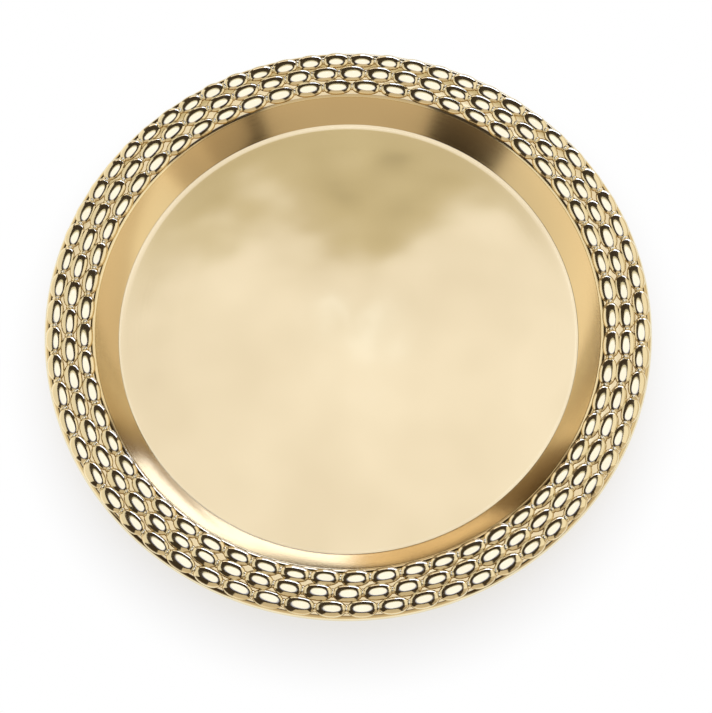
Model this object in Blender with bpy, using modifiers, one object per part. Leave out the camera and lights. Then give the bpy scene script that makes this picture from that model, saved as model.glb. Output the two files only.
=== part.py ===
"""Round serving tray: a spun metal pan under a beaded rim, hemmed together over an edge wire.

The pan is one sheet: floor, sloping wall and a flange that runs out under the rim. The rim is a second
sheet with three rows of oval beads. It lies on the flange, with a lip turned down over the top of the wall.
Its outer edge is curled round a wire and comes up again under the flange, which locks the two sheets
together. Soft pads under the floor carry the tray.

Metres, +Z up. The origin is on the table, under the centre of the tray.
"""

from math import asin, atan2, cos, pi, radians, sin, tan
from typing import NamedTuple

import bmesh
import bpy
from mathutils import Matrix, Vector

# Driving dimensions
TRAY_DIAMETER = 0.356
RIM_WIDTH = 0.0280
WELL_DEPTH = 0.0163
WALL_SLOPE = radians(47.5)
PAN_SHEET = 0.0008
RIM_SHEET = 0.0008
WIRE_DIAMETER = 0.0040
FIT = 0.0003

# The rim climbs outwards on a convex crown, steepest at the well, and just falls again at the curled edge
RIM_SLOPE_AT_WELL = radians(12.0)
RIM_SLOPE_AT_EDGE = radians(-1.5)
LIP_BEND_RADIUS = 0.0058
LIP_STRAIGHT = 0.0005

# The floor turns up in a shallow cove before the wall
COVE_WIDTH = 0.0048
COVE_SLOPE = radians(18.0)

# Beads
BEAD_HEIGHT = 0.0036
BEAD_END_GAP = 0.0004
BEAD_ROW_GAP = 0.0004
BEAD_EDGE_OVERLAP = 0.0014

# Pads under the floor
PAD_COUNT = 4
PAD_DIAMETER = 0.0140
PAD_HEIGHT = 0.0020
PAD_INSET = 0.0271
PAD_EDGE_ROUND = 0.0004

# Faceting
TURN_STEPS = 60
COVE_STEPS = 4
BEND_STEPS = 2
CROWN_STEPS = 3
SHOULDER_STEPS = 3
CURL_STEPS = 5
WIRE_SIDES = 8
PAD_SIDES = 20
BEAD_SIDES = 8
BEAD_RINGS = 4
EQUATOR_TOLERANCE = 1e-6
SHARP_ANGLE = radians(32.0)


class BeadRow(NamedTuple):
    """A row of hand-set beads. Its even spacing sways once and twice round the tray, most at the given angles."""

    count: int
    first_angle: float
    once_by: float
    once_at: float
    twice_by: float
    twice_at: float


# From the well outwards
BEAD_ROWS = (
    BeadRow(56, radians(-6.5), radians(1.7), radians(165.0), radians(0.0), radians(0.0)),
    BeadRow(60, radians(-8.3), radians(0.5), radians(254.0), radians(0.8), radians(26.0)),
    BeadRow(64, radians(-11.6), radians(2.1), radians(-4.0), radians(1.0), radians(84.0)),
)

# Heights and radii that follow from the driving dimensions
WIRE_RADIUS = WIRE_DIAMETER / 2
FLOOR_Z = PAD_HEIGHT + FIT + PAN_SHEET
CORNER_R = TRAY_DIAMETER / 2 - RIM_WIDTH
CORNER_Z = FLOOR_Z + WELL_DEPTH
CURL_BORE = WIRE_RADIUS + FIT
CURL_RADIUS = CURL_BORE + RIM_SHEET
CURL_CENTRE_R = TRAY_DIAMETER / 2 - CURL_RADIUS

# The lip's bend, tangent to the wall and to the crown, whose lines meet at the corner
BEND_REACH = LIP_BEND_RADIUS * tan((WALL_SLOPE - RIM_SLOPE_AT_WELL) / 2)
CROWN_START_R = CORNER_R + BEND_REACH * cos(RIM_SLOPE_AT_WELL)
CROWN_START_Z = CORNER_Z + BEND_REACH * sin(RIM_SLOPE_AT_WELL)
BEND_CENTRE_R = CROWN_START_R + LIP_BEND_RADIUS * sin(RIM_SLOPE_AT_WELL)
BEND_CENTRE_Z = CROWN_START_Z - LIP_BEND_RADIUS * cos(RIM_SLOPE_AT_WELL)

# The crown, tangent at its outer end to the curl
CROWN_END_R = CURL_CENTRE_R - CURL_RADIUS * sin(RIM_SLOPE_AT_EDGE)
CROWN_RADIUS = (CROWN_END_R - CROWN_START_R) / (sin(RIM_SLOPE_AT_WELL) - sin(RIM_SLOPE_AT_EDGE))
CROWN_CENTRE_R = CROWN_START_R + CROWN_RADIUS * sin(RIM_SLOPE_AT_WELL)
CROWN_CENTRE_Z = CROWN_START_Z - CROWN_RADIUS * cos(RIM_SLOPE_AT_WELL)
CURL_CENTRE_Z = CROWN_CENTRE_Z + (CROWN_RADIUS - CURL_RADIUS) * cos(RIM_SLOPE_AT_EDGE)

# The pan's face lies this far under the rim's top face
PAN_DROP = RIM_SHEET + FIT

# The wall runs down from the bend to the cove, where the floor ends
COVE_RISE = COVE_WIDTH * tan(COVE_SLOPE / 2)
WALL_TOP_R = BEND_CENTRE_R - (LIP_BEND_RADIUS - PAN_DROP) * sin(WALL_SLOPE)
WALL_TOP_Z = BEND_CENTRE_Z + (LIP_BEND_RADIUS - PAN_DROP) * cos(WALL_SLOPE)
FLOOR_RADIUS = WALL_TOP_R - (WALL_TOP_Z - FLOOR_Z - COVE_RISE) / tan(WALL_SLOPE)
PAD_CIRCLE_RADIUS = FLOOR_RADIUS - PAD_INSET


def clear_scene():
    for obj in list(bpy.data.objects):
        bpy.data.objects.remove(obj)


def new_collection(name):
    collection = bpy.data.collections.new(name)
    bpy.context.scene.collection.children.link(collection)
    return collection


def new_material(name, colour, roughness, metallic):
    material = bpy.data.materials.new(name)
    material.use_nodes = True
    shader = material.node_tree.nodes["Principled BSDF"]
    shader.inputs["Base Color"].default_value = (*colour, 1.0)
    shader.inputs["Roughness"].default_value = roughness
    shader.inputs["Metallic"].default_value = metallic
    return material


def new_object(name, mesh, collection, material=None):
    obj = bpy.data.objects.new(name, mesh)
    collection.objects.link(obj)
    if material:
        obj.data.materials.append(material)
    return obj


def bend_point(slope, drop=0.0):
    """A point (r, z) of the lip's bend with this slope, drop below the rim's top face."""
    radius = LIP_BEND_RADIUS - drop
    return BEND_CENTRE_R - radius * sin(slope), BEND_CENTRE_Z + radius * cos(slope)


def crown_point(slope, drop=0.0):
    """A point (r, z) of the crown with this slope, drop below the rim's top face."""
    radius = CROWN_RADIUS - drop
    return CROWN_CENTRE_R - radius * sin(slope), CROWN_CENTRE_Z + radius * cos(slope)


def crown_slope(r, drop=0.0):
    """The crown's slope at radius r, drop below the rim's top face."""
    return asin((CROWN_CENTRE_R - r) / (CROWN_RADIUS - drop))


def spread(start, end, steps):
    """steps + 1 values from start to end."""
    return [start + (end - start) * i / steps for i in range(steps + 1)]


def sheet_outline(face, thickness):
    """The closed outline of a sheet, from the (r, z) path of its upper face, which runs outwards."""
    back = []
    for i, (r, z) in enumerate(face):
        headings = []
        for j in (i - 1, i):
            if 0 <= j < len(face) - 1:
                headings.append(atan2(face[j + 1][1] - face[j][1], face[j + 1][0] - face[j][0]))
        turn = (headings[-1] - headings[0] + pi) % (2 * pi) - pi
        heading = headings[0] + turn / 2
        reach = thickness / cos(turn / 2)
        back.append((r + reach * sin(heading), z - reach * cos(heading)))
    return face + back[::-1]


def settle(obj):
    """Replaces the object's mesh with its modified shape, shaded smooth between its sharp edges."""
    graph = bpy.context.evaluated_depsgraph_get()
    shape = bpy.data.meshes.new_from_object(obj.evaluated_get(graph))
    obj.modifiers.clear()
    obj.data = shape
    shape.shade_smooth()
    shape.set_sharp_from_angle(angle=SHARP_ANGLE)
    return obj


def turn_profile(name, outline, collection, material, ring):
    """A solid turned about Z from an (r, z) outline. A ring's outline closes on itself, clear of the axis."""
    mesh = bpy.data.meshes.new(name)
    edges = [(i, i + 1) for i in range(len(outline) - 1)]
    if ring:
        edges.append((len(outline) - 1, 0))
    mesh.from_pydata([(r, 0.0, z) for r, z in outline], edges, [])
    obj = new_object(name, mesh, collection, material)
    screw = obj.modifiers.new("Turn", "SCREW")
    screw.steps = screw.render_steps = TURN_STEPS
    screw.use_merge_vertices = True
    screw.merge_threshold = 0.00001
    return obj


def bend_and_crown(end_slope, drop):
    """The path up over the lip's bend and out along the crown, which the rim and the pan share."""
    bend = [bend_point(a, drop) for a in spread(WALL_SLOPE, RIM_SLOPE_AT_WELL, BEND_STEPS)]
    crown = [crown_point(a, drop) for a in spread(RIM_SLOPE_AT_WELL, end_slope, CROWN_STEPS)]
    return bend + crown[1:]


def pan_outline():
    """Floor, cove, wall and flange, as the path of the face that is seen from above."""
    cove_radius = COVE_WIDTH / sin(COVE_SLOPE)
    cove_start = FLOOR_RADIUS - COVE_WIDTH
    cove = [
        (cove_start + cove_radius * sin(a), FLOOR_Z + cove_radius * (1 - cos(a)))
        for a in spread(0.0, COVE_SLOPE, COVE_STEPS)
    ]
    flange_end = crown_slope(CURL_CENTRE_R - CURL_BORE, PAN_DROP)
    return sheet_outline([(0.0, FLOOR_Z)] + cove + bend_and_crown(flange_end, PAN_DROP), PAN_SHEET)


def rim_outline():
    """The lip, its bend, the crown, the curl round the wire, and the leg that ends under the flange."""
    bend_start = bend_point(WALL_SLOPE)
    lip_end = (
        bend_start[0] - LIP_STRAIGHT * cos(WALL_SLOPE),
        bend_start[1] - LIP_STRAIGHT * sin(WALL_SLOPE),
    )
    turn = spread(pi / 2 + RIM_SLOPE_AT_EDGE, 0.0, SHOULDER_STEPS) + spread(0.0, -pi, CURL_STEPS)[1:]
    curl = [(CURL_CENTRE_R + CURL_RADIUS * cos(a), CURL_CENTRE_Z + CURL_RADIUS * sin(a)) for a in turn]
    leg_r = CURL_CENTRE_R - CURL_RADIUS
    flange_underside = PAN_DROP + PAN_SHEET
    leg_top = crown_point(crown_slope(leg_r, flange_underside), flange_underside)[1] - FIT
    face = [lip_end] + bend_and_crown(RIM_SLOPE_AT_EDGE, 0.0) + curl[1:] + [(leg_r, leg_top)]
    return sheet_outline(face, RIM_SHEET)


def bead_angle(row, index):
    """The angle of a bead's middle, with the row's sway."""
    even = row.first_angle + 2 * pi * index / row.count
    once = row.once_by * cos(even - row.once_at)
    twice = row.twice_by * cos(2 * (even - row.twice_at))
    return even + once + twice


def bead_mesh():
    """A dome of unit half length, half width and height, with a flat underside at a depth of one."""
    shape = bmesh.new()
    bmesh.ops.create_uvsphere(shape, u_segments=BEAD_SIDES, v_segments=BEAD_RINGS, radius=1.0)
    for vertex in shape.verts:
        if vertex.co.z < EQUATOR_TOLERANCE:
            vertex.co.z = -1.0
    mesh = bpy.data.meshes.new("bead")
    shape.to_mesh(mesh)
    shape.free()
    return mesh


def bead_places():
    """For each bead: its place on the rim, tilted to the rim's slope and scaled to its own length."""
    crown_length = CROWN_RADIUS * (RIM_SLOPE_AT_WELL - RIM_SLOPE_AT_EDGE)
    row_pitch = (BEND_REACH + crown_length + BEAD_EDGE_OVERLAP) / len(BEAD_ROWS)
    half_width = (row_pitch - BEAD_ROW_GAP) / 2
    for number, row in enumerate(BEAD_ROWS):
        along = (number + 0.5) * row_pitch - BEND_REACH
        slope = RIM_SLOPE_AT_WELL - along / CROWN_RADIUS
        r, z = crown_point(slope)
        for index in range(row.count):
            pitch = r * (bead_angle(row, index + 1) - bead_angle(row, index - 1)) / 2
            half_length = (pitch - BEAD_END_GAP) / 2
            yield (
                Matrix.Rotation(bead_angle(row, index), 4, "Z")
                @ Matrix.Translation(Vector((r, 0.0, z)))
                @ Matrix.Rotation(-slope, 4, "Y")
            ), Vector((half_width, half_length, BEAD_HEIGHT))


def all_beads(collection):
    """Every bead as one mesh of separate domes, each sunk to the middle of the rim's sheet."""
    joined = bmesh.new()
    dome = bead_mesh()
    for place, size in bead_places():
        copy = dome.copy()
        for vertex in copy.vertices:
            depth = size.z * vertex.co.z if vertex.co.z > 0 else -RIM_SHEET / 2
            vertex.co = place @ Vector((size.x * vertex.co.x, size.y * vertex.co.y, depth))
        joined.from_mesh(copy)
        bpy.data.meshes.remove(copy)
    bpy.data.meshes.remove(dome)
    mesh = bpy.data.meshes.new("beads")
    joined.to_mesh(mesh)
    joined.free()
    obj = new_object("beads", mesh, collection)
    obj.hide_render = True
    obj.display_type = "WIRE"
    return obj


def make_pan(parts, material):
    return settle(turn_profile("tray_pan", pan_outline(), parts, material, ring=False))


def make_rim(parts, helpers, material):
    rim = turn_profile("beaded_rim", rim_outline(), parts, material, ring=True)
    beads = all_beads(helpers)
    union = rim.modifiers.new("Beads", "BOOLEAN")
    union.operation = "UNION"
    union.object = beads
    return settle(rim)


def make_wire(parts, material):
    bpy.ops.mesh.primitive_torus_add(
        major_radius=CURL_CENTRE_R,
        minor_radius=WIRE_RADIUS,
        major_segments=TURN_STEPS,
        minor_segments=WIRE_SIDES,
        location=(0.0, 0.0, CURL_CENTRE_Z),
    )
    wire = bpy.context.object
    wire.name = wire.data.name = "edge_wire"
    wire.data.materials.append(material)
    for collection in wire.users_collection:
        collection.objects.unlink(wire)
    parts.objects.link(wire)
    return settle(wire)


def make_pads(parts, material):
    """Pads on a circle under the floor, half a step away from the X axis."""
    for number in range(PAD_COUNT):
        shape = bmesh.new()
        bmesh.ops.create_cone(
            shape,
            cap_ends=True,
            segments=PAD_SIDES,
            radius1=PAD_DIAMETER / 2,
            radius2=PAD_DIAMETER / 2,
            depth=PAD_HEIGHT,
        )
        mesh = bpy.data.meshes.new(f"foot_pad_{number + 1}")
        shape.to_mesh(mesh)
        shape.free()
        pad = new_object(mesh.name, mesh, parts, material)
        angle = 2 * pi * (number + 0.5) / PAD_COUNT
        pad.location = Vector((cos(angle), sin(angle), 0.0)) * PAD_CIRCLE_RADIUS
        pad.location.z = PAD_HEIGHT / 2
        edge = pad.modifiers.new("Edge round", "BEVEL")
        edge.width = PAD_EDGE_ROUND
        edge.segments = 1
        settle(pad)


def main():
    clear_scene()
    parts = new_collection("round_serving_tray")
    helpers = new_collection("helpers")
    satin = new_material("satin_gold", (0.80, 0.64, 0.36), 0.28, 1.0)
    polished = new_material("polished_gold", (0.84, 0.70, 0.42), 0.08, 1.0)
    steel = new_material("bright_steel", (0.60, 0.60, 0.61), 0.30, 1.0)
    silicone = new_material("clear_silicone", (0.80, 0.80, 0.78), 0.35, 0.0)
    make_pan(parts, satin)
    make_rim(parts, helpers, polished)
    make_wire(parts, steel)
    make_pads(parts, silicone)


main()
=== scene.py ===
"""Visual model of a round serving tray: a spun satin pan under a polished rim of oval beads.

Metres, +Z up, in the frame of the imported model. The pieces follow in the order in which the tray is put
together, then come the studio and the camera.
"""

import bpy
import numpy as np
from mathutils import Matrix, Vector


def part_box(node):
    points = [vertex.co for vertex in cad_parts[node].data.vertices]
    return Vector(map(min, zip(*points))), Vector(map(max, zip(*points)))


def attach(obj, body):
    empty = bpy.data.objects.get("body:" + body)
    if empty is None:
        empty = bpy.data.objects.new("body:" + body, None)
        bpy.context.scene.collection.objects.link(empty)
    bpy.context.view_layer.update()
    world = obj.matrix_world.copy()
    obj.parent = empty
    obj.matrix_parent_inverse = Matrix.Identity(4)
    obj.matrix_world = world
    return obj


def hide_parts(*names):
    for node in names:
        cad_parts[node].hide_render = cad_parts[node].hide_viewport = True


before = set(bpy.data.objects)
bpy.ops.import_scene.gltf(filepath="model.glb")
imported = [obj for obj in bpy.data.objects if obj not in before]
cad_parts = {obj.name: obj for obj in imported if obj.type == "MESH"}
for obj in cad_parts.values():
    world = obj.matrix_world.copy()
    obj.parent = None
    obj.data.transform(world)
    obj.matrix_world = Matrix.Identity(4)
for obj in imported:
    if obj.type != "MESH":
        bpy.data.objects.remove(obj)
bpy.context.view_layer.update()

# The pan. One disc of gold-toned brass sheet, spun over a former into floor, cove, wall and flange.
# The spinning tool leaves fine rings round the centre, and clear lacquer keeps that satin finish.
FLOOR_Z = 0.0031
WELL_DEPTH = 0.0163
PAN_SHEET = 0.0008
RIM_SHEET = 0.0008
FIT = 0.0003
WALL_SLOPE = np.radians(47.5)
WALL_SAG = 0.0002
CROWN_SLOPE_AT_WELL = np.radians(12.0)
CROWN_SLOPE_AT_EDGE = np.radians(-1.5)
CORNER = np.array((0.1500, FLOOR_Z + WELL_DEPTH))
BEND_RADIUS = 0.0058
CURL_RADIUS = 0.0031
TRAY_RADIUS = 0.178
CURL_CENTRE_R = TRAY_RADIUS - CURL_RADIUS
COVE_WIDTH = 0.0036
COVE_SLOPE = np.radians(13.0)
COVE_SHARE = 0.92
COVE_FILLET = 0.0009
FLANGE_END_R = 0.17265
FLANGE_EDGE_ROUND = 0.0002
PAN_COLUMNS = 400
FLOOR_STEPS = 44
COVE_STEPS = 8
FILLET_STEPS = 6
WALL_STEPS = 14
BEND_STEPS = 8
FLANGE_STEPS = 10

# The floor's faint unevenness: soft waves all over, and one broad hollow that widens towards the far edge
WAVE_SCALE = 9.0
WAVE_DETAIL = 2.2
WAVE_HEIGHT = 0.08
WAVE_OFFSET = (0.30, 0.10, 0.40)
HOLLOW_HEADING = (0.16, 0.987, 0.0)
HOLLOW_NARROWNESS = 14.0
HOLLOW_REACH = 0.14
HOLLOW_DEPTH = 0.09
WAVES_END = (0.118, 0.132)
WAVES_RELIEF = 0.04


def out_along(slope):
    """The unit (r, z) vector that climbs outwards at this slope."""
    return np.array((np.cos(slope), np.sin(slope)))


def out_of(slope):
    """The unit (r, z) vector that stands off a face of this slope, upwards."""
    return np.array((-np.sin(slope), np.cos(slope)))


def arc(centre, radius, start, end, steps):
    """Points (r, z) from one slope to another: centre + radius * normal. A negative radius makes it sag."""
    slope = np.linspace(start, end, steps + 1)
    return centre + radius * np.stack((-np.sin(slope), np.cos(slope)), axis=1)


def sagging(start, end, sag, steps):
    """Points between two (r, z) points, on their line less a parabola: 4 * sag * share * (1 - share)."""
    share = np.linspace(0.0, 1.0, steps + 1)[1:-1, None]
    run = np.asarray(end) - np.asarray(start)
    off = np.array((run[1], -run[0])) / np.linalg.norm(run)
    return np.asarray(start) + share * run + 4 * sag * share * (1 - share) * off


def backed(face, thickness):
    """The other face of a sheet: each point of the path moved square to the path, down by the thickness."""
    ahead = np.gradient(face, axis=0)
    ahead /= np.linalg.norm(ahead, axis=1, keepdims=True)
    return face + thickness * np.stack((ahead[:, 1], -ahead[:, 0]), axis=1)


def carried_round(outline, columns):
    """An (r, z) outline at each column's angle a: x = r cos a, y = r sin a, in rows of points."""
    angle = np.arange(columns) * (2 * np.pi / columns)
    r = outline[:, :1]
    z = np.broadcast_to(outline[:, 1:], (len(outline), columns))
    return np.stack((r * np.cos(angle), r * np.sin(angle), z), axis=2).reshape(-1, 3)


def grid_faces(rows, columns, wrap_rows=False):
    """Quads of a grid whose columns close on themselves, and whose rows do where asked."""
    row = np.arange(rows if wrap_rows else rows - 1)[:, None]
    column = np.arange(columns)[None, :]
    here = row * columns
    there = (row + 1) % rows * columns
    beside = (column + 1) % columns
    quads = np.stack((here + column, there + column, there + beside, here + beside), axis=2)
    return quads.reshape(-1, 4)


def fan_faces(pole, first, columns, upward):
    """Triangles from a pole to the ring that begins at an index."""
    ring = first + np.arange(columns)
    beside = first + (np.arange(columns) + 1) % columns
    pair = (ring, beside) if upward else (beside, ring)
    return np.stack((np.full(columns, pole), *pair), axis=1)


def turned_solid(outline, columns, top_z, bottom_z):
    """An outline carried round, as points and faces, closed by a pole at its first and at its last ring."""
    rings = carried_round(outline, columns)
    faces = [
        grid_faces(len(outline), columns),
        fan_faces(len(rings), 0, columns, True),
        fan_faces(len(rings) + 1, len(rings) - columns, columns, False),
    ]
    return np.concatenate((rings, ((0.0, 0.0, top_z), (0.0, 0.0, bottom_z)))), faces


def new_piece(name, points, faces, material, body="root"):
    """A smooth-shaded mesh object from an array of points and a list of index arrays, one row to a face."""
    mesh = bpy.data.meshes.new(name)
    corners = np.concatenate([f.ravel() for f in faces]).astype(np.int32)
    sizes = np.concatenate([np.full(len(f), f.shape[1], np.int32) for f in faces])
    starts = np.concatenate(([0], np.cumsum(sizes)[:-1])).astype(np.int32)
    mesh.vertices.add(len(points))
    mesh.vertices.foreach_set("co", np.ascontiguousarray(points, np.float32).ravel())
    mesh.loops.add(len(corners))
    mesh.loops.foreach_set("vertex_index", corners)
    mesh.polygons.add(len(sizes))
    mesh.polygons.foreach_set("loop_start", starts)
    mesh.update(calc_edges=True)
    mesh.validate()
    mesh.shade_smooth()
    mesh.materials.append(material)
    piece = bpy.data.objects.new(name, mesh)
    bpy.context.scene.collection.objects.link(piece)
    if body:
        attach(piece, body)
    return piece


def fill(tree, node, sockets):
    """Gives each input of a node, by name or number, a value, or a link where that is another socket."""
    for key, content in sockets.items():
        if isinstance(content, bpy.types.NodeSocket):
            tree.links.new(content, node.inputs[key])
        else:
            node.inputs[key].default_value = content
    return node


def add_node(tree, kind, sockets, **settings):
    """A new node with these settings and with its inputs filled."""
    node = tree.nodes.new(kind)
    for name, setting in settings.items():
        setattr(node, name, setting)
    return fill(tree, node, sockets)


def new_material(name):
    """A material with nodes, its tree and its shader."""
    material = bpy.data.materials.new(name)
    material.use_nodes = True
    return material, material.node_tree, material.node_tree.nodes["Principled BSDF"]


def worked(tree, operation, *terms):
    """The result of a Math node on these terms."""
    return add_node(tree, "ShaderNodeMath", dict(enumerate(terms)), operation=operation).outputs["Value"]


def arrow(tree, operation, *terms, result="Vector"):
    """The result of a Vector Math node on these terms."""
    return add_node(tree, "ShaderNodeVectorMath", dict(enumerate(terms)), operation=operation).outputs[result]


def ranged(tree, value, low, high, at_low, at_high, **settings):
    """A value that runs from one level to another while the given one runs from low to high."""
    sockets = {"Value": value, "From Min": low, "From Max": high, "To Min": at_low, "To Max": at_high}
    return add_node(tree, "ShaderNodeMapRange", sockets, **settings).outputs["Result"]


def eased(tree, value, low, high, at_low, at_high):
    """The same, with a soft start and end."""
    return ranged(tree, value, low, high, at_low, at_high, interpolation_type="SMOOTHSTEP")


def tinted(tree, value, low, high, at_low, at_high, **settings):
    """A colour that runs from one tone to another while a value runs from low to high.

    Inputs 6 to 10 of the node are its vector form: the value, the two ends and the two tones.
    """
    sockets = {6: value, 7: (low, low, low), 8: (high, high, high), 9: at_low, 10: at_high}
    node = add_node(tree, "ShaderNodeMapRange", sockets, data_type="FLOAT_VECTOR", **settings)
    return node.outputs["Vector"]


def from_axis(tree):
    """The place in Object coordinates, the same without its height, and its distance from the Z axis."""
    place = add_node(tree, "ShaderNodeTexCoord", {}).outputs["Object"]
    flat = arrow(tree, "MULTIPLY", place, (1.0, 1.0, 0.0))
    return place, flat, arrow(tree, "LENGTH", flat, result="Value")


def ring_group():
    """A group that gives turned metal its tone: broad cloudy patches, fine rings round the Z axis and specks.

    Clouds and specks are noise on Object coordinates, and rings are noise on the distance from the axis.
    """
    group = bpy.data.node_groups.new("turned_metal", "ShaderNodeTree")
    for name in ("Cloud Scale", "Ring Scale"):
        group.interface.new_socket(name, in_out="INPUT", socket_type="NodeSocketFloat")
    for name in ("Cloud", "Rings", "Specks"):
        group.interface.new_socket(name, in_out="OUTPUT", socket_type="NodeSocketFloat")
    scales = add_node(group, "NodeGroupInput", {}).outputs
    place, _, reach = from_axis(group)
    cloud = add_node(
        group,
        "ShaderNodeTexNoise",
        {"Vector": place, "Scale": scales["Cloud Scale"], "Detail": 2.0, "Roughness": 0.45},
    )
    rings = add_node(
        group,
        "ShaderNodeTexNoise",
        {"W": reach, "Scale": scales["Ring Scale"], "Detail": 4.0, "Roughness": 0.6},
        noise_dimensions="1D",
    )
    specks = add_node(group, "ShaderNodeTexNoise", {"Vector": place, "Scale": 900.0, "Detail": 3.0})
    tones = {"Cloud": cloud.outputs["Fac"], "Rings": rings.outputs["Fac"], "Specks": specks.outputs["Fac"]}
    add_node(group, "NodeGroupOutput", tones)
    return group


TURNED_METAL = ring_group()
CLOUD_SPAN = (0.35, 0.65)
RING_SPAN = (0.3, 0.7)


def turned_metal(name, dark, light, smooth, rough, cloud_scale, ring_scale, relief):
    """A metal whose colour runs between two tones with the clouds, and whose gloss and bump follow the rings.

    Its tree, shader, colour and bump node come with it, for what a piece adds to them.
    """
    metal, tree, shader = new_material(name)
    scales = {"Cloud Scale": cloud_scale, "Ring Scale": ring_scale}
    tone = add_node(tree, "ShaderNodeGroup", scales, node_tree=TURNED_METAL).outputs
    colour = tinted(tree, tone["Cloud"], *CLOUD_SPAN, dark, light)
    gloss = ranged(tree, tone["Rings"], *RING_SPAN, smooth, rough)
    height = worked(tree, "ADD", tone["Rings"], tone["Specks"])
    dents = add_node(tree, "ShaderNodeBump", {"Strength": 1.0, "Distance": relief, "Height": height})
    surface = {"Base Color": colour, "Metallic": 1.0, "Roughness": gloss, "Normal": dents.outputs["Normal"]}
    fill(tree, shader, surface)
    return metal, tree, shader, colour, dents


def floor_waves(tree):
    """The normal of the floor's unevenness: noise and a hollow along one heading, fading out at the cove.

    The hollow's share is a high power of the cosine from its heading, and its depth grows from the centre.
    """
    _, flat, reach = from_axis(tree)
    swell = add_node(
        tree,
        "ShaderNodeTexNoise",
        {"Vector": arrow(tree, "ADD", flat, WAVE_OFFSET), "Scale": WAVE_SCALE, "Detail": WAVE_DETAIL},
    )
    cosine = arrow(tree, "DOT_PRODUCT", arrow(tree, "NORMALIZE", flat), HOLLOW_HEADING, result="Value")
    sector = worked(tree, "POWER", worked(tree, "MAXIMUM", cosine, 0.0), HOLLOW_NARROWNESS)
    depth = eased(tree, reach, 0.0, HOLLOW_REACH, 0.0, -HOLLOW_DEPTH)
    hollow = worked(tree, "MULTIPLY", sector, depth)
    height = worked(tree, "MULTIPLY_ADD", swell.outputs["Fac"], WAVE_HEIGHT, hollow)
    share = eased(tree, reach, *WAVES_END, 1.0, 0.0)
    waves = {"Strength": share, "Distance": WAVES_RELIEF, "Height": height}
    return add_node(tree, "ShaderNodeBump", waves).outputs["Normal"]


satin_gold, satin_tree, satin_shader, _, satin_dents = turned_metal(
    "satin_gold",
    dark=(0.71, 0.575, 0.338),
    light=(0.785, 0.645, 0.39),
    smooth=0.13,
    rough=0.17,
    cloud_scale=12.0,
    ring_scale=1500.0,
    relief=0.000001,
)
satin_grain = add_node(satin_tree, "ShaderNodeTangent", {}, direction_type="RADIAL", axis="Z")
fill(satin_tree, satin_shader, {"Anisotropic": 0.3, "Tangent": satin_grain.outputs["Tangent"]})
fill(satin_tree, satin_dents, {"Normal": floor_waves(satin_tree)})

# Where the arcs of the section meet: the bend at the lip, the crown under the beads, the curl at the edge
bend_reach = BEND_RADIUS * np.tan((WALL_SLOPE - CROWN_SLOPE_AT_WELL) / 2)
crown_start = CORNER + bend_reach * out_along(CROWN_SLOPE_AT_WELL)
bend_centre = crown_start - BEND_RADIUS * out_of(CROWN_SLOPE_AT_WELL)
crown_run = CURL_CENTRE_R - CURL_RADIUS * np.sin(CROWN_SLOPE_AT_EDGE) - crown_start[0]
crown_radius = crown_run / (np.sin(CROWN_SLOPE_AT_WELL) - np.sin(CROWN_SLOPE_AT_EDGE))
crown_length = crown_radius * (CROWN_SLOPE_AT_WELL - CROWN_SLOPE_AT_EDGE)
crown_centre = crown_start - crown_radius * out_of(CROWN_SLOPE_AT_WELL)
curl_centre_z = crown_centre[1] + (crown_radius - CURL_RADIUS) * np.cos(CROWN_SLOPE_AT_EDGE)
curl_centre = np.array((CURL_CENTRE_R, curl_centre_z))


def pan_face():
    """The pan's upper face: level floor, hollow cove, small fillet, hollow wall, convex bend, flange."""
    pan_drop = RIM_SHEET + FIT
    wall_top = bend_centre + (BEND_RADIUS - pan_drop) * out_of(WALL_SLOPE)
    cove_rise = COVE_WIDTH * np.tan(COVE_SLOPE / 2)
    floor_r = wall_top[0] - (wall_top[1] - FLOOR_Z - cove_rise) / np.tan(WALL_SLOPE)
    cove_radius = COVE_WIDTH / np.sin(COVE_SLOPE)
    cove_centre = np.array((floor_r - COVE_WIDTH, FLOOR_Z + cove_radius))
    cove = arc(cove_centre, -cove_radius, 0.0, COVE_SHARE * COVE_SLOPE, COVE_STEPS)
    floor = sagging((0.0, FLOOR_Z), cove[0], 0.0, FLOOR_STEPS)
    corner = np.array((floor_r, FLOOR_Z + cove_rise))
    reach = COVE_FILLET * np.tan((WALL_SLOPE - COVE_SLOPE) / 2)
    fillet_centre = corner + reach * out_along(WALL_SLOPE) + COVE_FILLET * out_of(WALL_SLOPE)
    fillet = arc(fillet_centre, -COVE_FILLET, COVE_SLOPE, WALL_SLOPE, FILLET_STEPS)
    wall = sagging(fillet[-1], wall_top, WALL_SAG, WALL_STEPS)
    bend = arc(bend_centre, BEND_RADIUS - pan_drop, WALL_SLOPE, CROWN_SLOPE_AT_WELL, BEND_STEPS)
    flange_slope = np.arcsin((crown_centre[0] - FLANGE_END_R) / (crown_radius - pan_drop))
    flange = arc(crown_centre, crown_radius - pan_drop, CROWN_SLOPE_AT_WELL, flange_slope, FLANGE_STEPS)
    return np.concatenate((floor, cove, fillet, wall, bend, flange[1:]))


pan_top = pan_face()
pan_under = backed(pan_top, PAN_SHEET)[::-1]
pan_edge = (pan_top[-1:] + pan_under[:1]) / 2 + np.array((FLANGE_EDGE_ROUND, 0.0))
pan_points, pan_faces = turned_solid(
    np.concatenate((pan_top, pan_edge, pan_under)), PAN_COLUMNS, FLOOR_Z, FLOOR_Z - PAN_SHEET
)
pan = new_piece("pan", pan_points, pan_faces, satin_gold)
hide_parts("tray_pan")

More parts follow.
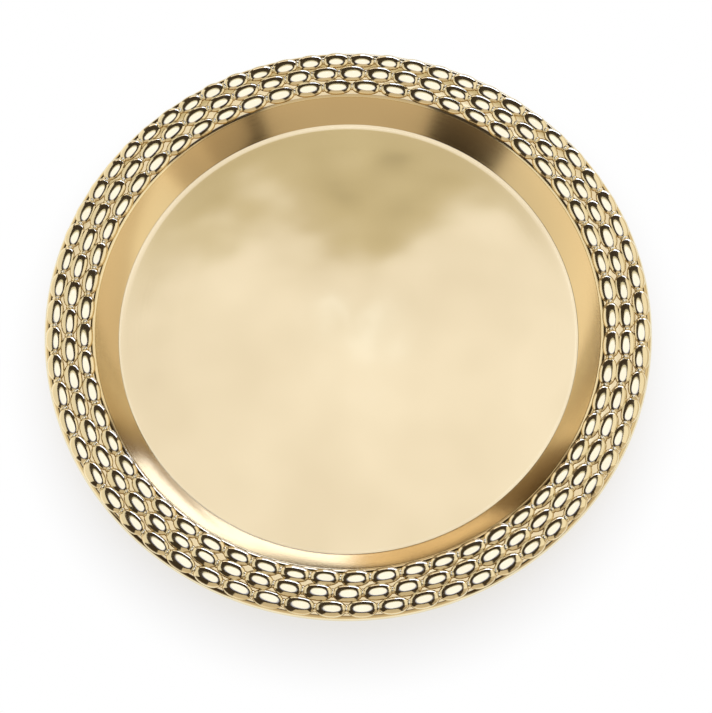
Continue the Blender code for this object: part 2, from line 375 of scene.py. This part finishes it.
# The pads. Four soft milky silicone discs, moulded with a rounded edge and a shallow dished foot.
# Each is stuck under the floor with its own clear glue film, and they keep the metal off the table.
PAD_COUNT = 4
PAD_COLUMNS = 56
PAD_OUTLINE = np.array(
    (
        (0.0058, 0.00205),
        (0.0062, 0.00200),
        (0.0066, 0.00190),
        (0.0068, 0.00172),
        (0.0069, 0.00140),
        (0.0070, 0.00095),
        (0.0070, 0.00060),
        (0.0069, 0.00032),
        (0.0067, 0.00012),
        (0.0064, 0.00002),
        (0.0060, 0.00000),
        (0.0049, 0.00000),
        (0.0045, 0.00006),
        (0.0041, 0.00022),
        (0.0036, 0.00030),
        (0.0020, 0.00033),
    )
)
PAD_DARK = (0.74, 0.74, 0.71)
PAD_LIGHT = (0.84, 0.84, 0.82)
pad_silicone, pad_tree, pad_shader = new_material("pad_silicone")
pad_place = add_node(pad_tree, "ShaderNodeTexCoord", {}).outputs["Object"]
pad_cloud = {"Vector": pad_place, "Scale": 220.0, "Detail": 3.0}
pad_milk = add_node(pad_tree, "ShaderNodeTexNoise", pad_cloud).outputs["Fac"]
pad_skin = add_node(pad_tree, "ShaderNodeTexNoise", {"Vector": pad_place, "Scale": 2600.0}).outputs["Fac"]
pad_dents = add_node(pad_tree, "ShaderNodeBump", {"Strength": 0.6, "Distance": 0.00003, "Height": pad_skin})
fill(
    pad_tree,
    pad_shader,
    {
        "Base Color": tinted(pad_tree, pad_milk, 0.0, 1.0, PAD_DARK, PAD_LIGHT),
        "Roughness": ranged(pad_tree, pad_milk, 0.0, 1.0, 0.38, 0.58),
        "Normal": pad_dents.outputs["Normal"],
        "Subsurface Weight": 0.25,
        "Subsurface Radius": (0.0012, 0.0012, 0.0011),
        "Subsurface Scale": 1.0,
    },
)
pad_points, pad_faces = turned_solid(PAD_OUTLINE, PAD_COLUMNS, PAD_OUTLINE[0, 1], PAD_OUTLINE[-1, 1])
for number in range(1, PAD_COUNT + 1):
    low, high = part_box(f"foot_pad_{number}")
    pad_middle = np.array(((low[0] + high[0]) / 2, (low[1] + high[1]) / 2, low[2]))
    pad = new_piece(f"pad_{number}", pad_points + pad_middle, pad_faces, pad_silicone)
    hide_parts(f"foot_pad_{number}")

# The wire. Drawn steel, bent into a ring and laid in the rim's edge before it is curled over.
# It is sealed in, so it keeps its plain drawn look, with die lines that run along it.
WIRE_RADIUS = 0.0020
WIRE_COLUMNS = 240
WIRE_SIDES = 20
steel_wire, *_ = turned_metal(
    "steel_wire",
    dark=(0.52, 0.52, 0.53),
    light=(0.64, 0.64, 0.65),
    smooth=0.26,
    rough=0.42,
    cloud_scale=120.0,
    ring_scale=6000.0,
    relief=0.000006,
)
wire_turn = np.arange(WIRE_SIDES) * (2 * np.pi / WIRE_SIDES)
wire_section = curl_centre + WIRE_RADIUS * np.stack((-np.cos(wire_turn), np.sin(wire_turn)), axis=1)
wire = new_piece(
    "wire",
    carried_round(wire_section, WIRE_COLUMNS),
    [grid_faces(WIRE_SIDES, WIRE_COLUMNS, wrap_rows=True)],
    steel_wire,
)
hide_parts("edge_wire")

# The rim. A second sheet, pressed with three rows of oval beads, small nubs between them, and polished.
# Its lip turns down over the wall's top, and its edge is curled round the wire and hooked under the flange.
# The valleys between the beads are painted a duller, darker gold, as painted shade.
RIM_COLUMNS = 240
CROWN_STEPS = 16
CURL_STEPS = 26
CURL_END = -1.5 * np.pi
LIP_LENGTH = 0.0005
LIP_NOSE = 0.00015
LEG_LENGTH = 0.0008
BEAD_HEIGHT = 0.0027
BEAD_HALF_WIDTH = 0.0051
BEAD_ROUNDNESS = 0.55
BEAD_SQUARENESS = 2.2
BEAD_SIDES = 28
BEAD_RINGS = 8
BEAD_SKIRT = 0.0006
BEAD_END_GAP = -0.0002
BEAD_EDGE_OVERLAP = 0.0014
BEAD_WIDTHS = (0.96, 1.04)
BEAD_HEIGHTS = (0.90, 1.08)
BEAD_LEANS = (-0.16, 0.16)
BEAD_SEED = 40
NUB_HALF_LENGTH = 0.0015
NUB_HALF_WIDTH = 0.0026
NUB_HEIGHT = 0.0019
NUB_SIDES = 12
NUB_RINGS = 4
NUB_WIDTHS = (0.9, 1.1)
NUB_HEIGHTS = (0.85, 1.15)
NUB_LEANS = (-0.25, 0.25)
VALLEY_SHADE_GOLD = (0.71, 0.565, 0.31, 1.0)
VALLEY_SHADE_LEVEL = 0.0002
VALLEY_SHADE_EDGE = (0.0003, 0.0009)

# From the well outwards: beads, first angle, then by how much and where the pitch sways once and twice round
BEAD_ROWS = (
    (56, np.radians(-6.4), np.radians(1.7), np.radians(165.0), 0.0, 0.0),
    (60, np.radians(-8.0), np.radians(0.5), np.radians(254.0), np.radians(0.8), np.radians(26.0)),
    (64, np.radians(-11.6), np.radians(2.1), np.radians(-4.0), np.radians(1.0), np.radians(84.0)),
)


def valley_shaded(tree, colour):
    """A colour that turns to a darker gold, painted shade in the valleys, where the metal lies near the
    crown's arc, beside the beads.

    The height over the crown is the distance from its centre in the section (r, z), less its radius. Inputs
    0, 6 and 7 and output 2 of the Mix node are its share, its two colours and the mixed colour.
    """
    place, _, reach = from_axis(tree)
    level = add_node(tree, "ShaderNodeSeparateXYZ", {"Vector": place}).outputs["Z"]
    section = add_node(tree, "ShaderNodeCombineXYZ", {"X": reach, "Z": level}).outputs["Vector"]
    middle = (crown_centre[0], 0.0, crown_centre[1])
    radius = arrow(tree, "DISTANCE", section, middle, result="Value")
    height = worked(tree, "SUBTRACT", radius, crown_radius + VALLEY_SHADE_LEVEL)
    share = eased(tree, worked(tree, "ABSOLUTE", height), *VALLEY_SHADE_EDGE, 1.0, 0.0)
    mixed = add_node(tree, "ShaderNodeMix", {}, data_type="RGBA")
    return fill(tree, mixed, {0: share, 6: colour, 7: VALLEY_SHADE_GOLD}).outputs[2]


polished_gold, polished_tree, polished_shader, polished_tone, _ = turned_metal(
    "polished_gold",
    dark=(0.86, 0.765, 0.52),
    light=(0.90, 0.805, 0.56),
    smooth=0.09,
    rough=0.14,
    cloud_scale=60.0,
    ring_scale=300.0,
    relief=0.000002,
)
# The rim's colour darkens to a painted shade in the valleys beside the beads
fill(polished_tree, polished_shader, {"Base Color": valley_shaded(polished_tree, polished_tone)})


def rim_outline():
    """The rim's closed section: lip, bend, crown, curl and leg on the outer face, then back on the inner."""
    bend = arc(bend_centre, BEND_RADIUS, WALL_SLOPE, CROWN_SLOPE_AT_WELL, BEND_STEPS)
    lip = bend[0] - LIP_LENGTH * out_along(WALL_SLOPE)
    crown = arc(crown_centre, crown_radius, CROWN_SLOPE_AT_WELL, CROWN_SLOPE_AT_EDGE, CROWN_STEPS)
    curl = arc(curl_centre, CURL_RADIUS, CROWN_SLOPE_AT_EDGE, CURL_END, CURL_STEPS)
    leg = curl[-1] + np.array((0.0, LEG_LENGTH))
    face = np.concatenate(([lip], bend, crown[1:], curl[1:], [leg]))
    nose = lip - LIP_NOSE * out_along(WALL_SLOPE) - 0.5 * RIM_SHEET * out_of(WALL_SLOPE)
    return np.concatenate((face, backed(face, RIM_SHEET)[::-1], [nose]))


def rim_face(along):
    """The place (r, z) on the rim's outer face and the slope there, at path distances from the crown's start.

    Three arcs follow each other: the bend before the start, then the crown, then the curl round the wire.
    """
    arcs = [along < 0.0, along <= crown_length]
    radius = np.select(arcs, [BEND_RADIUS, crown_radius], CURL_RADIUS)
    turned = np.select(arcs, [along, along], along - crown_length) / radius
    slope = np.select(arcs, [CROWN_SLOPE_AT_WELL, CROWN_SLOPE_AT_WELL], CROWN_SLOPE_AT_EDGE) - turned
    middle_r = np.select(arcs, [bend_centre[0], crown_centre[0]], curl_centre[0])
    middle_z = np.select(arcs, [bend_centre[1], crown_centre[1]], curl_centre[1])
    return middle_r - radius * np.sin(slope), middle_z + radius * np.cos(slope), slope


def row_places(number):
    """A row's bead angles, with one more before and after, and its distance along the rim's face.

    The angles are an even pitch plus a small wave once round the tray and another twice round it.
    """
    count, first, once_by, once_at, twice_by, twice_at = BEAD_ROWS[number]
    even = first + 2 * np.pi * np.arange(-1, count + 1) / count
    angle = even + once_by * np.cos(even - once_at) + twice_by * np.cos(2 * (even - twice_at))
    row_pitch = (bend_reach + crown_length + BEAD_EDGE_OVERLAP) / len(BEAD_ROWS)
    return angle, (number + 0.5) * row_pitch - bend_reach


def domes(angle, half_turn, wide, tall, lean, middle, rings, sides):
    """Closed oval domes in a row, as points (dome, ring * side + poles, 3).

    Rings at equal angles t have plan radius sin t and height cos t to a power, so that the flanks are rounder
    than an ellipsoid's; the plan is a slightly square oval, and a lean tips the top along and across the row.
    The plan is laid along the curved face of the rim, the height stands square to it, and a short skirt goes
    down into the sheet.
    """
    rise = np.linspace(0.0, np.pi / 2, rings + 1)[1:, None]
    side = np.arange(sides) * (2 * np.pi / sides)
    plan = np.concatenate((np.sin(rise), [[1.0]]))
    oval = np.stack((np.cos(side), np.sin(side)))
    oval = np.sign(oval) * np.abs(oval) ** (2 / BEAD_SQUARENESS)
    across = np.append((plan * oval[0]).ravel(), (0.0, 0.0))
    around = np.append((plan * oval[1]).ravel(), (0.0, 0.0))
    level = np.concatenate((np.cos(rise).clip(0.0) ** (2 * BEAD_ROUNDNESS), [[0.0]]))
    up = np.append((level * np.ones(sides)).ravel(), (1.0, 0.0))
    sink = np.where(np.arange(len(up)) >= rings * sides, BEAD_SKIRT, 0.0)
    sink[-2] = 0.0
    r, z, slope = rim_face(middle + wide[:, None] * across)
    height = tall[:, None] * up * (1 + lean[0] * across + lean[1] * around) - sink
    far = r - height * np.sin(slope)
    turn = angle[:, None] + half_turn[:, None] * around
    return np.stack((far * np.cos(turn), far * np.sin(turn), z + height * np.cos(slope)), axis=2)


def dome_faces(count, rings, sides, first):
    """Quads and pole triangles of a row of domes whose points begin at an index."""
    size = (rings + 1) * sides
    starts = (first + np.arange(count) * (size + 2))[:, None, None]
    quads = starts + grid_faces(rings + 1, sides)
    tops = starts + fan_faces(size, 0, sides, True)
    bottoms = starts + fan_faces(size + 1, size - sides, sides, False)
    return quads.reshape(-1, 4), tops.reshape(-1, 3), bottoms.reshape(-1, 3)


rim_section = rim_outline()
rim_points = [carried_round(rim_section, RIM_COLUMNS)]
rim_faces = [grid_faces(len(rim_section), RIM_COLUMNS, wrap_rows=True)]
for number in range(len(BEAD_ROWS)):
    bead_angle, bead_along = row_places(number)
    bead_count = BEAD_ROWS[number][0]
    bead_r = rim_face(np.array(bead_along))[0]
    bead_chance = np.random.default_rng(BEAD_SEED + number)
    bead_domes = domes(
        bead_angle[1:-1],
        (bead_angle[2:] - bead_angle[:-2]) / 4 - BEAD_END_GAP / (2 * bead_r),
        BEAD_HALF_WIDTH * bead_chance.uniform(*BEAD_WIDTHS, bead_count),
        BEAD_HEIGHT * bead_chance.uniform(*BEAD_HEIGHTS, bead_count),
        bead_chance.uniform(*BEAD_LEANS, (2, bead_count, 1)),
        bead_along,
        BEAD_RINGS,
        BEAD_SIDES,
    )
    nub_domes = domes(
        (bead_angle[1:-1] + bead_angle[2:]) / 2,
        NUB_HALF_LENGTH / bead_r * bead_chance.uniform(*NUB_WIDTHS, bead_count),
        NUB_HALF_WIDTH * bead_chance.uniform(*NUB_WIDTHS, bead_count),
        NUB_HEIGHT * bead_chance.uniform(*NUB_HEIGHTS, bead_count),
        bead_chance.uniform(*NUB_LEANS, (2, bead_count, 1)),
        bead_along,
        NUB_RINGS,
        NUB_SIDES,
    )
    row_domes = ((bead_domes, BEAD_RINGS, BEAD_SIDES), (nub_domes, NUB_RINGS, NUB_SIDES))
    for dome_points, rings, sides in row_domes:
        rim_faces += dome_faces(bead_count, rings, sides, sum(len(p) for p in rim_points))
        rim_points.append(dome_points.reshape(-1, 3))
rim = new_piece("rim", np.concatenate(rim_points), rim_faces, polished_gold)
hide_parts("beaded_rim")

# The studio. A white table top that runs on to white, two large softboxes over the tray with a small
# lamp among them, cards at its sides, a warm panel before it and a window behind it.
TABLE_COLUMNS = 96
TABLE_RINGS = np.array(((0.3, 0.0), (1.0, 0.0), (3.0, 0.0), (9.0, 0.0)))
TABLE_WHITE = (0.90, 0.90, 0.905, 1.0)
SHADOW_MIDDLE = (0.0, -0.014, 0.0)
SHADOW_EDGE = (0.16, 0.208)
SHADOW_WHITENESS = 0.70
ROOM_LOW = (0.34, 0.245, 0.15)
ROOM_HIGH = (0.05, 0.036, 0.023)
ROOM_HIGH_FROM = 0.45
DOWN = Vector((0.0, 0.0, -1.0))
TO_LEFT = Vector((-1.0, 0.0, 0.0))
TO_RIGHT = Vector((1.0, 0.0, 0.0))
TO_BACK = Vector((0.0, 1.0, 0.0))
TO_FRONT = Vector((0.0, -1.0, 0.0))

# Name, place, facing, width, depth, radiance, shape and colour of each lamp
SOFTBOXES = (
    ("overhead_wide", (0.03, 0.155, 0.95), DOWN, 0.92, 1.15, 0.74, "ELLIPSE", (1.0, 0.96, 0.78)),
    ("overhead_core", (0.03, 0.03, 0.93), DOWN, 1.00, 1.02, 0.41, "ELLIPSE", (1.0, 1.17, 1.92)),
    ("overhead_spot", (0.0255, 0.357, 0.92), DOWN, 0.03, 0.03, 1.3, "ELLIPSE", (0.75, 1.15, 1.9)),
    ("right_card", (0.36, 0.12, 0.28), TO_LEFT, 0.54, 0.30, 0.96, "RECTANGLE", (1.0, 0.92, 0.77)),
    ("right_low_card", (0.36, 0.12, 0.08), TO_LEFT, 0.54, 0.10, 0.60, "RECTANGLE", (1.0, 0.88, 0.68)),
    ("right_mid_card", (0.38, -0.225, 0.22), TO_LEFT, 0.15, 0.36, 0.56, "RECTANGLE", (1.0, 0.83, 0.60)),
    ("right_front_card", (0.40, -0.455, 0.24), TO_LEFT, 0.31, 0.32, 0.42, "RECTANGLE", (1.0, 0.80, 0.55)),
    ("left_card", (-0.35, 0.16, 0.18), TO_RIGHT, 0.68, 0.32, 0.84, "RECTANGLE", (1.0, 0.93, 0.79)),
    ("front_panel", (-0.07, -1.30, 1.15), TO_BACK, 1.46, 2.30, 0.60, "RECTANGLE", (1.0, 0.84, 0.62)),
    ("window", (0.51, 1.30, 0.38), TO_FRONT, 0.98, 0.24, 3.3, "RECTANGLE", (0.88, 1.05, 1.65)),
    ("back_card", (-0.24, 1.30, 0.38), TO_FRONT, 0.52, 0.24, 1.35, "RECTANGLE", (1.0, 0.90, 0.80)),
)
ELLIPSE_SHARE = np.pi / 4

# The table glows white where it is looked at or mirrored, and less so under the tray, which keeps its shadow
table_white, table_tree, table_shader = new_material("table_white")
fill(table_tree, table_shader, {"Base Color": TABLE_WHITE, "Roughness": 0.7, "Specular IOR Level": 0.1})
table_glow = add_node(table_tree, "ShaderNodeEmission", {"Color": (1.0, 1.0, 1.0, 1.0)})
table_place = add_node(table_tree, "ShaderNodeTexCoord", {}).outputs["Object"]
table_reach = arrow(
    table_tree, "LENGTH", arrow(table_tree, "SUBTRACT", table_place, SHADOW_MIDDLE), result="Value"
)
table_fade = eased(table_tree, table_reach, *SHADOW_EDGE, SHADOW_WHITENESS, 1.0)
table_path = add_node(table_tree, "ShaderNodeLightPath", {}).outputs
table_seen = worked(table_tree, "MAXIMUM", table_path["Is Camera Ray"], table_path["Is Glossy Ray"])
table_seen = worked(table_tree, "MAXIMUM", table_seen, table_path["Is Transmission Ray"])
table_share = worked(table_tree, "MULTIPLY", table_seen, table_fade)
table_mix = add_node(
    table_tree,
    "ShaderNodeMixShader",
    {"Fac": table_share, 1: table_shader.outputs["BSDF"], 2: table_glow.outputs["Emission"]},
)
fill(table_tree, table_tree.nodes["Material Output"], {"Surface": table_mix.outputs["Shader"]})
table_grid = carried_round(TABLE_RINGS, TABLE_COLUMNS)
table_top = new_piece(
    "table_top",
    np.concatenate((table_grid, [(0.0, 0.0, 0.0)])),
    [grid_faces(len(TABLE_RINGS), TABLE_COLUMNS), fan_faces(len(table_grid), 0, TABLE_COLUMNS, True)],
    table_white,
    body=None,
)

# Lamps of even radiance, with power = radiance * pi * area, that the camera itself does not see
for name, place, facing, width, depth, radiance, shape, colour in SOFTBOXES:
    lamp = bpy.data.lights.new(name, "AREA")
    lamp.shape = shape
    lamp.size = width
    lamp.size_y = depth
    lamp.energy = radiance * np.pi * width * depth * (ELLIPSE_SHARE if shape == "ELLIPSE" else 1.0)
    lamp.color = colour
    softbox = bpy.data.objects.new(name, lamp)
    softbox.location = place
    softbox.rotation_euler = facing.to_track_quat("-Z", "Y").to_euler()
    softbox.visible_camera = False
    bpy.context.scene.collection.objects.link(softbox)

# The room beyond, warm and dim, darker towards its ceiling
room = bpy.data.worlds.new("room")
room.use_nodes = True
bpy.context.scene.world = room
room_tree = room.node_tree
room_place = add_node(room_tree, "ShaderNodeTexCoord", {}).outputs["Generated"]
room_height = add_node(room_tree, "ShaderNodeSeparateXYZ", {"Vector": room_place}).outputs["Z"]
room_tone = tinted(
    room_tree, room_height, 0.0, ROOM_HIGH_FROM, ROOM_LOW, ROOM_HIGH, interpolation_type="SMOOTHSTEP"
)
fill(room_tree, room_tree.nodes["Background"], {"Color": room_tone})

# The camera stands in front of the tray and looks down on it, a little rolled. Its place, its aim and its
# lens follow from the circles of the floor's edge, the rim's inner edge and the outer edge.
CAMERA_PLACE = Vector((0.0, -0.3518, 0.9166))
CAMERA_AIM = Vector((0.004046, -0.017389, FLOOR_Z))
CAMERA_ROLL = np.radians(-1.440)
camera_data = bpy.data.cameras.new("camera")
camera_data.lens = 82.87
camera_data.sensor_width = 36.0
camera_data.clip_start = 0.01
camera = bpy.data.objects.new("camera", camera_data)
ahead = (CAMERA_AIM - CAMERA_PLACE).normalized()
level = ahead.cross(Vector((0.0, 0.0, 1.0))).normalized()
above = level.cross(ahead)
right = np.cos(CAMERA_ROLL) * level + np.sin(CAMERA_ROLL) * above
top = -np.sin(CAMERA_ROLL) * level + np.cos(CAMERA_ROLL) * above
turned = Matrix((right, top, -ahead)).transposed().to_4x4()
camera.matrix_world = Matrix.Translation(CAMERA_PLACE) @ turned
bpy.context.scene.collection.objects.link(camera)
bpy.context.scene.camera = camera
bpy.context.scene.view_settings.view_transform = "Standard"
